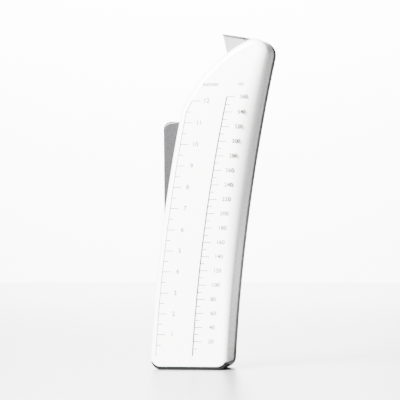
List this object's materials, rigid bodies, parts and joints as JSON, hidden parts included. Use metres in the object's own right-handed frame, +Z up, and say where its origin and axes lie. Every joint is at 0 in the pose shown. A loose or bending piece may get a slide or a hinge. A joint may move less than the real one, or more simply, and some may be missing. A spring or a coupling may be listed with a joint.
{
  "type": "measuring pourer",
  "caption": "hand-held measuring pourer with a tall leaning white vessel, printed volume scales, a side squeeze lever and a flap spout",
  "frame": {"origin": "middle of the foot's flat underside, on the ground it stands on", "axes": "+X to the right, the way the body leans; +Y to the back, away from the scales; +Z up"},
  "size_m": [0.0885, 0.0557, 0.2505],
  "materials": {
    "white_shell": "satin",
    "dark_cover": "matte",
    "foot_plastic": "matte",
    "lever_plastic": "satin",
    "spout_plastic": "satin",
    "soft_seal": "matte",
    "scale_ink": "matte",
    "inner_plastic": "matte",
    "bright_steel": "brushed"
  },
  "bodies": {
    "vessel": {"front_shell": "white_shell", "foot_cap": "foot_plastic", "shell_gasket": "soft_seal", "vessel_back": "dark_cover", "rear_cover": "dark_cover", "cover_screws": "bright_steel", "ounce_scale": "scale_ink", "millilitre_scale": "scale_ink", "pour_spout": "spout_plastic", "shaft_bush": "inner_plastic", "rod_guide": "inner_plastic", "lever_pivot_pin": "bright_steel", "lever_spring": "bright_steel"},
    "lever": {"squeeze_lever": "lever_plastic", "rod_pin": "bright_steel", "rod_pin_clip": "bright_steel"},
    "rod": {"pull_rod": "bright_steel"},
    "flap": {"spout_flap": "spout_plastic", "flap_seal": "soft_seal", "flap_shaft": "bright_steel", "flap_crank": "inner_plastic", "crank_pin": "bright_steel", "crank_pin_clip": "bright_steel"}
  },
  "joints": [
    {"name": "lever_squeeze", "type": "hinge", "parent": "vessel", "child": "lever", "pos_m": [-0.01444, 0.0193, 0.086], "axis": [0, 1, 0], "range_deg": [0, 9.5], "stiffness_Nm_per_rad": 0.8, "springref_deg": -8.59, "deforming": ["lever_spring"]},
    {"name": "rod_swing", "type": "hinge", "parent": "lever", "child": "rod", "pos_m": [0.02263, 0.0201, 0.08252], "axis": [0, 1, 0], "range_deg": [-9.5, 0]},
    {"name": "flap_lift", "type": "hinge", "parent": "vessel", "child": "flap", "pos_m": [0.04461, -0.0073, 0.2395], "axis": [0, 1, 0], "range_deg": [0, 55]}
  ],
  "couplings": [
    {"joint": "rod_swing", "follows": "lever_squeeze", "ratio": -1},
    {"joint": "flap_lift", "follows": "lever_squeeze", "ratio": 5.7895}
  ]
}
